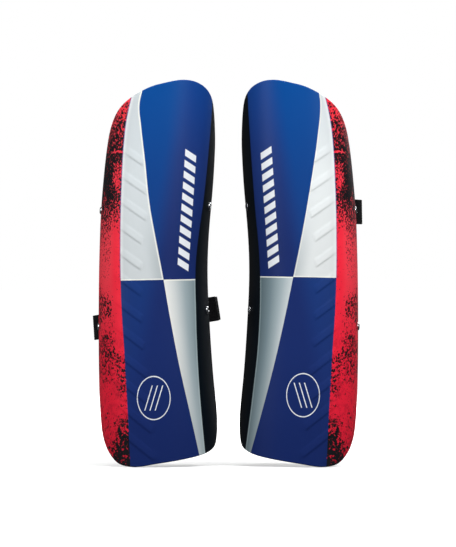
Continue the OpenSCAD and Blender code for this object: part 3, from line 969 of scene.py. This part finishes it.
def make_liner_seams(side, sign):
    """Stitches along the liner's sewn channels."""
    points, _, _, inward = LINER
    share, up = liner_grid()
    shape = (len(up), len(share), 3)
    back, away = points[len(inward) :].reshape(shape), inward.reshape(shape)
    inside = slice(3, -3)  # the seams stop short of the hem
    lines = [(back[j, inside], away[j, inside]) for j in range(CELL_ROWS, len(up) - 1, CELL_ROWS)]
    for i in np.flatnonzero(np.isclose(np.abs(share), CHANNEL_SHARE)):
        lines.append((back[inside, i], away[inside, i]))
    parts = [stitch for line, normals in lines for stitch in stitches(line, normals, 2.6, 1.2, lift=0.15)]
    add_piece(f"{side}_liner_seams", join(parts), "seam", sign, ROOT, "liner")


# ---- straps

BOW = 1.2  # the elastic bows out a little further than its plain CAD solid
TWIST_LENGTH = {1: 44, -1: 14}  # over which a strap turns from its wall's slope to its own
ENDS_MEET = 1.715  # where the strap's elastic and that of its free end meet
SEWN_BOXES = {"end": [(1.9, 2.12), (2.36, 2.58)], "tab": [(2.2, 2.42), (2.7, 2.9)]}
SEWN_WIDTH = 17
HOOK_PITCH = 0.95
# A hook's half width at its foot and head, the head's half length, and how far the head leans
HOOK_FOOT, HOOK_HEAD, HOOK_LONG, HOOK_LEAN = 0.17, 0.26, 0.3, 0.12
PILE_LENGTH = 45
PILE_LUMPS, PILE_SEED = 0.16, 7  # how uneven the pile is, as a share of its height
RIDGES, RIDGE_PITCH, RIDGE_RISE = 5, 0.032, 0.42  # the grip's ridges, with their pitch in places
# How far the handles of a strap's curve reach, from the anchor round to the back
FROM_ANCHOR, TO_CREST, FROM_CREST, TO_BACK = 6, 6, 13, 32


class Strap:
    """One closed strap's reference curve, in its own plane through the ends of its two anchors. Places on
    it run from 0 at the outer anchor, over 2 at the back, to 4 at the inner anchor."""

    def __init__(self, side, level):
        self.heights = RIVETS[level]
        outer, inner = (self.anchor_point(sign, ANCHOR_REAR + JOINT_GAP / 2)[0] for sign in (1, -1))
        self.middle = (outer + inner) / 2
        self.tilt = math.atan2(inner[2] - outer[2], outer[0] - inner[0])
        self.upward = np.array([math.sin(self.tilt), 0, math.cos(self.tilt)])
        self.plane = np.array([[math.cos(self.tilt), 0, -math.sin(self.tilt)], [0, 1, 0]])
        bulge = BULGES[side, level]
        self.cubics = self.side_curves(1, outer, bulge[1]) + self.side_curves(-1, inner, bulge[-1])[::-1]

    def anchor_point(self, sign, a):
        """A point along an anchor, a behind its rivet, with the anchor's up and outward axes."""
        t, z = sign * RIVET_PLACE, self.heights[sign]
        over, rise, out = wall_axes(t, z)
        return wall(t, z) + sign * over * a - out * (ANCHOR_IN + STRAP_T / 2), rise, out

    def side_curves(self, sign, end, bulge):
        """The two cubics from an anchor's end to the back of the leg."""
        x = (end[0] - self.middle[0]) / math.cos(self.tilt) - sign * ELASTIC_MID
        start = np.array([x, end[1] - self.middle[1]])
        t, z = sign * RIVET_PLACE, self.heights[sign]
        run = unit(wall(t + 0.01, z) - wall(t - 0.01, z))[:2] * sign
        crest = start + [sign * BOW * bulge, BULGE_REACH]
        back = np.array([0, STRAP_REACH])
        return [
            [start, start + FROM_ANCHOR * run, crest - [0, TO_CREST], crest],
            [crest, crest + [0, FROM_CREST], back + [sign * TO_BACK, 0], back],
        ]

    def flat(self, s):
        """The curve at places s, in the strap's plane."""
        s = np.clip(s, 0, 4)
        part = np.minimum(s.astype(int), 3)
        f = np.where(part < 2, s - part, part + 1 - s)[:, None]
        c = np.array(self.cubics)[part]
        r = 1 - f
        return r**3 * c[:, 0] + 3 * f * r * r * c[:, 1] + 3 * f * f * r * c[:, 2] + f**3 * c[:, 3]

    def stations(self, s, offset):
        """Centres at an offset from the curve, with the strap's up and outward axes."""
        run = unit(self.flat(s + 0.01) - self.flat(s - 0.01))
        normal = np.stack([run[:, 1], -run[:, 0]], -1)
        flat = self.flat(s) + np.reshape(offset, (-1, 1)) * normal
        return self.middle + flat @ self.plane, np.tile(self.upward, (len(s), 1)), normal @ self.plane


def tape_section(width, thick, ribs, depth):
    """A woven tape's section, as [across, outward]: rounded edges and shallow lengthwise ribs."""
    edge = thick / 2
    flat = width / 2 - edge
    ripple = depth * (np.cos(np.linspace(0, 2 * np.pi * ribs, 4 * ribs + 1)) - 1) / 2
    turn = np.array([0.6, 1.2, np.pi - 1.2, np.pi - 0.6])
    face = np.stack([np.linspace(-flat, flat, 4 * ribs + 1), edge + ripple], -1)
    half = np.concatenate([face, np.stack([flat + edge * np.sin(turn), edge * np.cos(turn)], -1)])
    return np.concatenate([half, -half])


def sweep(centres, up, out, section):
    """Loops of a section carried along stations. section may be one, or one for each station."""
    section = np.broadcast_to(section, (len(centres), *np.shape(section)[-2:]))
    return centres[:, None] + section[..., :1] * up[:, None] + section[..., 1:] * out[:, None]


ELASTIC = tape_section(STRAP_W, STRAP_T, 9, 0.16)


def anchored_path(strap, sign, places, offset):
    """Stations from the front of an anchor, round its rivet, and on along the strap's places."""
    anchor = [strap.anchor_point(sign, a) for a in np.linspace(-ANCHOR_FRONT, ANCHOR_REAR, 14)]
    centres, up, out = strap.stations(places, offset)
    travel = np.linalg.norm(centres - centres[0], axis=-1)
    ease = smooth(travel, 0, TWIST_LENGTH[sign])[:, None]
    up = unit(anchor[-1][1] * (1 - ease) + up * ease)
    out = unit(np.cross(np.cross(up, out), up))
    return [np.concatenate(pair) for pair in zip(zip(*anchor), (centres, up, out))]


def make_web(name, path, sign, bodies, bend, *nodes):
    """Elastic along a path. bodies is not used."""
    centres = path[0]
    points, faces = loft(sweep(*path, ELASTIC))
    weave = weave_lengths(ELASTIC[:, 0], travel_along(centres))
    piece = add_mesh(name, points, faces, [MATERIALS["elastic"]], sign, weave=weave, solid=True)
    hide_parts(*nodes)
    start, end = (tuple(centres[k] * MM * (sign, 1, 1)) for k in bend)
    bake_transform(piece)


def hook_field(strap, places, width, base, tip):
    """Rows of small hooks from base in to tip, on a backing strip with softened edges."""
    half, thick, soft = width / 2, 0.25, 0.225
    rim = [[-half, soft - thick], [soft - half, -thick], [half - soft, -thick], [half, soft - thick]]
    section = np.array(rim + [[a, -b] for a, b in rim[::-1]])
    parts = [loft(sweep(*strap.stations(places, base - thick), section))]
    fine = np.linspace(places[0] + 0.01, places[-1] - 0.01, 46)
    foot, up, _ = strap.stations(fine, base - 0.45)
    head = strap.stations(fine, tip)[0]
    corners = [(-1, -1), (1, -1), (1, 1), (-1, 1)]
    faces = [(0, 1, 5, 4), (1, 2, 6, 5), (2, 3, 7, 6), (3, 0, 4, 7), (4, 5, 6, 7), (3, 2, 1, 0)]
    for k in range(1, len(fine) - 1):
        run = unit(foot[k + 1] - foot[k - 1])
        for a in np.arange(-half + 1 + 0.4 * (k % 2), half - 0.8, HOOK_PITCH):
            low, high = [], []
            for p, q in corners:
                low.append(foot[k] + up[k] * (a + HOOK_FOOT * p) + run * HOOK_FOOT * q)
                high.append(head[k] + up[k] * (a + HOOK_HEAD * p) + run * (HOOK_LONG * q + HOOK_LEAN))
            parts.append((np.array(low + high), faces))
    return join(parts)


def pile_band(strap, places, width, base, tip):
    """A brushed pad's loops and weave lengths: a strip whose free face is uneven."""
    across = np.linspace(-width / 2, width / 2, 31)
    foot, up, _ = strap.stations(places, base)
    head = strap.stations(places, tip)[0]
    aside = across[None, :, None] * up[:, None]
    low, high = foot[:, None] + aside, head[:, None] + aside
    lump = np.random.default_rng(PILE_SEED).uniform(0, PILE_LUMPS, high.shape[:2])
    edge = np.minimum(width / 2 - np.abs(across), 1.0)[None, :]
    ends = np.minimum(np.arange(len(places)), np.arange(len(places))[::-1])[:, None]
    full = np.minimum(edge, np.minimum(ends, 1.0)) * (1 - lump) * 0.92 + 0.08
    high = low + (high - low) * full[..., None]
    round_loop = np.concatenate([across, across[::-1]])
    weave = weave_lengths(round_loop, np.linspace(0, PILE_LENGTH, len(places)))
    return np.concatenate([low, high[:, ::-1]], 1), weave


def make_grip(strap):
    """The moulded tip: a ridged plate over the elastic and a block that closes its end."""
    over, beyond = np.linspace(GRIP_FROM, END_TO + 0.028, 26), np.linspace(END_TO + 0.032, GRIP_TO, 13)
    places = np.concatenate([over, beyond])
    wave = np.clip((places - GRIP_FROM - 0.03) / RIDGE_PITCH, 0, RIDGES)
    ridge = RIDGE_RISE * (0.5 - 0.5 * np.cos(wave * 2 * np.pi))
    start = np.sqrt(np.clip((places - GRIP_FROM) / 0.012, 0.15, 1))
    finish = np.sqrt(np.clip((GRIP_TO - places) / 0.02, 0.2, 1))
    bottom = np.where(places < END_TO + 0.03, GRIP_IN, 1.4)
    top = GRIP_OUT - 0.2 + ridge
    thick = (top - bottom) / 2 * start * finish
    half = (STRAP_W - 1) / 2 * (0.97 + 0.03 * start * finish)
    turn = np.linspace(0, np.pi / 2, 5)
    sections = []
    for wide, deep in zip(half, thick):
        r = min(0.8, deep * 0.95)
        quarter = [[wide - r + r * math.sin(q), deep - r + r * math.cos(q)] for q in turn]
        row = [[a, deep] for a in (-wide * 0.5, 0, wide * 0.5)]
        right = row + quarter + [[a, -b] for a, b in quarter[::-1]]
        sections.append(right + [[-a, -b] for a, b in row + quarter] + [[-a, b] for a, b in quarter[::-1]])
    return loft(sweep(*strap.stations(places, (top + bottom) / 2), np.array(sections)))


def box_seam(strap, begin, end, offset):
    """A sewn box with its diagonals, on one face of a strap."""
    half = SEWN_WIDTH / 2
    fine, ramp = np.linspace(begin, end, 30), np.linspace(-half, half, 30)
    runs = [(fine, half), (fine, -half), (begin, ramp), (end, ramp), (fine, ramp), (fine, -ramp)]
    parts = []
    for places, across in runs:
        centres, up, out = strap.stations(np.broadcast_to(places, 30), offset)
        line = centres + up * np.broadcast_to(across, 30)[:, None]
        parts += stitches(line, out * math.copysign(1, offset), 2.1, 0.7, lift=0.05)
    return parts


def make_strap(side, sign, level):
    """A strap from its outer anchor to its free end, and the keeper tab that it closes on."""
    strap = Strap(side, level)
    name = f"{side}_{level}"
    parts = "strap", "strap_end", "keeper_tab", "strap_anchors"
    body, end, tab, anchors = (f"{name}_{part}" for part in parts)

    path = anchored_path(strap, 1, np.linspace(0.01, ENDS_MEET, 76), ELASTIC_MID)
    make_web(f"{name}_web", path, sign, (ROOT, body), (12, 21), body, anchors)
    path = strap.stations(np.linspace(ENDS_MEET, END_TO, 44), ELASTIC_MID)
    make_web(f"{name}_end_web", path, sign, (body, end), (0, 5), end)
    form = hook_field(strap, np.linspace(HOOK_FROM, HOOK_TO, 30), STRAP_W - 3, PILE_IN + PILE, PILE_IN)
    add_piece(f"{name}_hook_field", form, "hooks", sign, end, "hook_pile", f"{name}_hook_pad")
    add_piece(f"{name}_grip_moulding", make_grip(strap), "grip", sign, end, "grip", f"{name}_strap_grip")

    path = anchored_path(strap, -1, np.linspace(3.99, TAB_FROM, 84), -ELASTIC_MID)
    make_web(f"{name}_tab_web", path, sign, (ROOT, tab), (12, 26), tab, anchors)
    places = np.linspace(LOOP_FROM, LOOP_TO, 46)
    loops, weave = pile_band(strap, places, STRAP_W - 1, -PILE_IN - PILE, -PILE_IN)
    node = f"{name}_loop_pad"
    add_piece(f"{name}_loop_field", loft(loops), "loops", sign, tab, "loop_pile", node, weave=weave)

    face = ELASTIC_MID + STRAP_T / 2
    for part, rider, offset in (("end", end, face), ("tab", tab, -face)):
        boxes = [stitch for places in SEWN_BOXES[part] for stitch in box_seam(strap, *places, offset)]
        add_piece(f"{name}_{part}_seams", join(boxes), "thread", sign, rider, "elastic")


# ---- CAD nodes that stay, stage and camera


def dress_node(name, material):
    """A CAD node that stays gets a better material."""
    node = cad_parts[name]
    node.data.materials.clear()
    node.data.materials.append(MATERIALS[material])


WHITE = (255, 255, 255)
SKY_LOW, SKY_HIGH, SKY_GLOSS = 0.06, 0.3, 0.06


def make_floor():
    """A pale floor that turns into the white surround with distance."""
    radius, height = 60, -0.0004  # in metres, just below the guards
    ring = np.stack([*circle(64), np.ones(64)], -1) * [radius, radius, height] / MM
    g = new_material("studio_floor")
    spot = g.node("ShaderNodeTexCoord", {}, "Object")
    away = g.node("ShaderNodeVectorMath", {0: spot}, "Value", operation="LENGTH")
    glow = g.ease(away, 0.3, 1.6) * 0.8
    material = g.finish((246, 246, 246), 0.9, Specular_IOR_Level=0.1, Emission_Strength=glow,
                        Emission_Color=WHITE)
    floor = add_mesh("studio_floor", ring, [tuple(range(64))], [material])
    floor.visible_diffuse = False
    floor.visible_glossy = False


def make_world():
    """A white backdrop for the camera, and dimmer, even light for the object."""
    world = bpy.data.worlds.new("studio")
    g = Graph(world)
    height = g.split(g.node("ShaderNodeTexCoord", {}, "Generated"))[2]
    sky = g.node("ShaderNodeMapRange", {0: height, 1: -0.5, 2: 0.9, 3: SKY_LOW, 4: SKY_HIGH})
    light = g.blend(g.node("ShaderNodeLightPath", {}, "Is Glossy Ray"), sky, SKY_GLOSS)
    light = g.blend(g.node("ShaderNodeLightPath", {}, "Is Camera Ray"), light, 1.0)
    g.node("ShaderNodeOutputWorld", {0: g.node("ShaderNodeBackground", {0: WHITE, 1: light})})
    bpy.context.scene.world = world


# Each light's name, place in metres, size and power
LIGHTS = [("key", (1.6, -1.9, 2.0), 1.3, 74), ("fill", (-2.5, -1.3, 1.4), 1.5, 50),
          ("top", (0, -0.9, 2.6), 1.2, 30), ("back", (0.6, 2.7, 1.6), 1.8, 90)]
LIGHTS_AIM = (0, 0, 0.2)


def add_light(name, place, size, power):
    """A soft square light that faces the guards."""
    lamp = bpy.data.lights.new(name, "AREA")
    lamp.size = size
    lamp.energy = power
    made = bpy.data.objects.new(name, lamp)
    bpy.context.scene.collection.objects.link(made)
    made.location = place
    way = Vector(LIGHTS_AIM) - Vector(place)
    made.rotation_euler = way.to_track_quat("-Z", "Y").to_euler()


def make_camera():
    """Straight on from the front, from far enough away that depth hardly changes the scale."""
    distance, tall, aside, middle, faces_ahead = 6.0, 0.547, -0.0004, 0.1935, 0.048
    data = bpy.data.cameras.new("camera")
    data.sensor_width = 36
    data.lens = data.sensor_width * (distance - faces_ahead) / tall
    data.clip_end = 200
    camera = bpy.data.objects.new("camera", data)
    bpy.context.scene.collection.objects.link(camera)
    camera.location = (aside, -distance, middle)
    camera.rotation_euler = (math.pi / 2, 0, 0)
    bpy.context.scene.camera = camera


for side, sign in SIDES.items():
    make_shell(side, sign)
    make_foam(side, sign)
    make_rivets(side, sign)
    make_liner(side, sign)
    make_tape(side, sign)
    make_liner_seams(side, sign)
    for level in RIVETS:
        make_strap(side, sign, level)
    dress_node(f"{side}_foam_coins", "hooks")
    dress_node(f"{side}_rivet_washers", "rivet")

make_floor()
make_world()
for light in LIGHTS:
    add_light(*light)
make_camera()
bpy.context.scene.view_settings.view_transform = "Standard"
